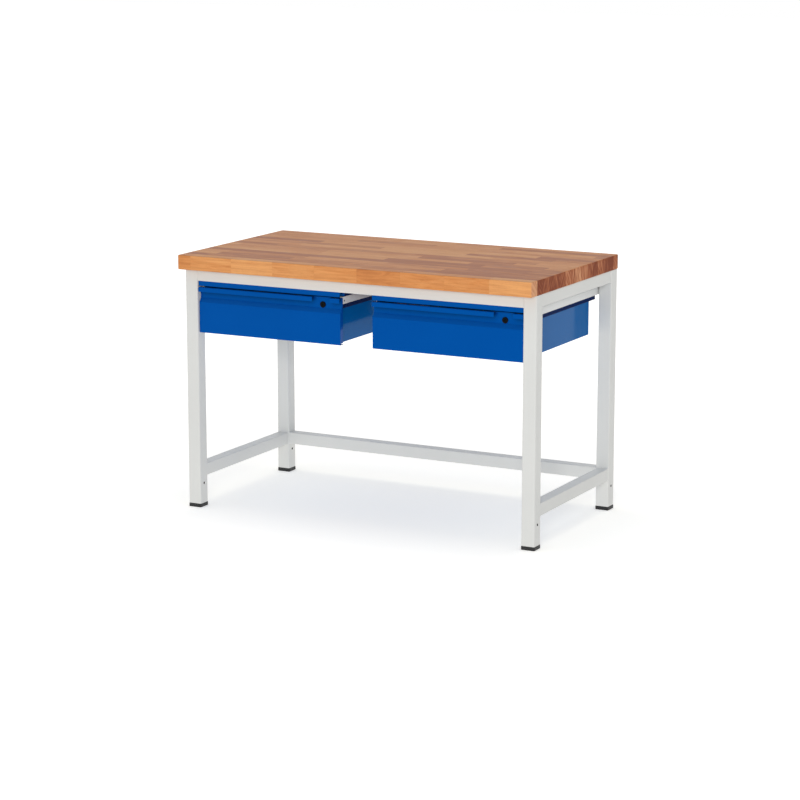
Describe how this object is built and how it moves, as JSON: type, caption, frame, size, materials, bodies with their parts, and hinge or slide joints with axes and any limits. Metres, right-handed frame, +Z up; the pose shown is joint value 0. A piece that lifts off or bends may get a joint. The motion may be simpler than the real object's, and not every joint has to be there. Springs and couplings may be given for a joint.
{
  "type": "workbench with drawers",
  "caption": "Workbench with a thick beech top on a welded square-tube steel frame and lockable sheet-steel drawers on roller runners, side by side under the front rail.",
  "frame": {"origin": "on the floor, under the middle of the worktop", "axes": "+X to the right along the worktop, +Y from the drawers to the back, +Z up"},
  "size_m": [1.25, 0.67, 0.84],
  "materials": {
    "beech": "oiled beech, satin",
    "frame_grey": "light grey powder coat",
    "drawer_blue": "blue powder coat",
    "slide_blue": "dark blue powder coat",
    "runner_steel": "pale grey coat on steel",
    "zinc_steel": "bright zinc",
    "nylon": "natural nylon",
    "black_plastic": "moulded black plastic",
    "lock_black": "black lacquer on die-cast metal"
  },
  "bodies": {
    "frame": {"worktop": "beech", "front_left_leg": "frame_grey", "front_right_leg": "frame_grey", "rear_left_leg": "frame_grey", "rear_right_leg": "frame_grey", "front_left_foot": "black_plastic", "front_right_foot": "black_plastic", "rear_left_foot": "black_plastic", "rear_right_foot": "black_plastic", "front_rail": "frame_grey", "rear_rail": "frame_grey", "left_rail": "frame_grey", "right_rail": "frame_grey", "left_stretcher": "frame_grey", "right_stretcher": "frame_grey", "rear_stretcher": "frame_grey", "front_worktop_screw": "zinc_steel", "rear_worktop_screw": "zinc_steel", "left_worktop_screw": "zinc_steel", "right_worktop_screw": "zinc_steel", "left_front_strip": "drawer_blue", "right_front_strip": "drawer_blue", "left_hanger_l": "slide_blue", "left_hanger_r": "slide_blue", "right_hanger_l": "slide_blue", "right_hanger_r": "slide_blue", "left_runner_l": "runner_steel", "left_runner_r": "runner_steel", "right_runner_l": "runner_steel", "right_runner_r": "runner_steel", "left_strip_bolt_l": "zinc_steel", "left_strip_bolt_r": "zinc_steel", "right_strip_bolt_l": "zinc_steel", "right_strip_bolt_r": "zinc_steel", "left_hanger_bolt_l": "zinc_steel", "left_hanger_bolt_r": "zinc_steel", "right_hanger_bolt_l": "zinc_steel", "right_hanger_bolt_r": "zinc_steel"},
    "left_drawer": {"left_drawer_front": "drawer_blue", "left_drawer_tray": "drawer_blue", "left_slide_l": "slide_blue", "left_slide_r": "slide_blue", "left_lock_barrel": "lock_black", "left_lock_nut": "zinc_steel"},
    "right_drawer": {"right_drawer_front": "drawer_blue", "right_drawer_tray": "drawer_blue", "right_slide_l": "slide_blue", "right_slide_r": "slide_blue", "right_lock_barrel": "lock_black", "right_lock_nut": "zinc_steel"},
    "left_lock": {"left_lock_plug": "lock_black"},
    "right_lock": {"right_lock_plug": "lock_black"},
    "left_front_wheel_l": {"left_front_roller_l": "nylon"},
    "left_front_wheel_r": {"left_front_roller_r": "nylon"},
    "right_front_wheel_l": {"right_front_roller_l": "nylon"},
    "right_front_wheel_r": {"right_front_roller_r": "nylon"},
    "left_rear_wheel_l": {"left_rear_roller_l": "nylon"},
    "left_rear_wheel_r": {"left_rear_roller_r": "nylon"},
    "right_rear_wheel_l": {"right_rear_roller_l": "nylon"},
    "right_rear_wheel_r": {"right_rear_roller_r": "nylon"}
  },
  "joints": [
    {"name": "left_drawer_slide", "type": "slide", "parent": "frame", "child": "left_drawer", "axis": [0, -1, 0], "range_m": [0, 0.4]},
    {"name": "right_drawer_slide", "type": "slide", "parent": "frame", "child": "right_drawer", "axis": [0, -1, 0], "range_m": [0, 0.4]},
    {"name": "left_lock_turn", "type": "hinge", "parent": "left_drawer", "child": "left_lock", "pos_m": [-0.124, -0.26, 0.7079], "axis": [0, 1, 0], "range_deg": [0, 90]},
    {"name": "right_lock_turn", "type": "hinge", "parent": "right_drawer", "child": "right_lock", "pos_m": [0.5105, -0.26, 0.7079], "axis": [0, 1, 0], "range_deg": [0, 90]},
    {"name": "left_front_wheel_l_turn", "type": "hinge", "parent": "frame", "child": "left_front_wheel_l", "pos_m": [-0.5663, -0.2495, 0.7213], "axis": [1, 0, 0], "range_deg": [0, 3060]},
    {"name": "left_front_wheel_r_turn", "type": "hinge", "parent": "frame", "child": "left_front_wheel_r", "pos_m": [-0.0682, -0.2495, 0.7213], "axis": [1, 0, 0], "range_deg": [0, 3060]},
    {"name": "right_front_wheel_l_turn", "type": "hinge", "parent": "frame", "child": "right_front_wheel_l", "pos_m": [0.0682, -0.2495, 0.7213], "axis": [1, 0, 0], "range_deg": [0, 3060]},
    {"name": "right_front_wheel_r_turn", "type": "hinge", "parent": "frame", "child": "right_front_wheel_r", "pos_m": [0.5663, -0.2495, 0.7213], "axis": [1, 0, 0], "range_deg": [0, 3060]},
    {"name": "left_rear_wheel_l_turn", "type": "hinge", "parent": "left_drawer", "child": "left_rear_wheel_l", "pos_m": [-0.5663, 0.2878, 0.7204], "axis": [1, 0, 0], "range_deg": [0, 3060]},
    {"name": "left_rear_wheel_r_turn", "type": "hinge", "parent": "left_drawer", "child": "left_rear_wheel_r", "pos_m": [-0.0682, 0.2878, 0.7204], "axis": [1, 0, 0], "range_deg": [0, 3060]},
    {"name": "right_rear_wheel_l_turn", "type": "hinge", "parent": "right_drawer", "child": "right_rear_wheel_l", "pos_m": [0.0682, 0.2878, 0.7204], "axis": [1, 0, 0], "range_deg": [0, 3060]},
    {"name": "right_rear_wheel_r_turn", "type": "hinge", "parent": "right_drawer", "child": "right_rear_wheel_r", "pos_m": [0.5663, 0.2878, 0.7204], "axis": [1, 0, 0], "range_deg": [0, 3060]}
  ],
  "couplings": [
    {"joint": "left_front_wheel_l_turn", "follows": "left_drawer_slide", "rad_per_m": 133.33},
    {"joint": "left_front_wheel_r_turn", "follows": "left_drawer_slide", "rad_per_m": 133.33},
    {"joint": "left_rear_wheel_l_turn", "follows": "left_drawer_slide", "rad_per_m": 133.33},
    {"joint": "left_rear_wheel_r_turn", "follows": "left_drawer_slide", "rad_per_m": 133.33},
    {"joint": "right_front_wheel_l_turn", "follows": "right_drawer_slide", "rad_per_m": 133.33},
    {"joint": "right_front_wheel_r_turn", "follows": "right_drawer_slide", "rad_per_m": 133.33},
    {"joint": "right_rear_wheel_l_turn", "follows": "right_drawer_slide", "rad_per_m": 133.33},
    {"joint": "right_rear_wheel_r_turn", "follows": "right_drawer_slide", "rad_per_m": 133.33}
  ]
}
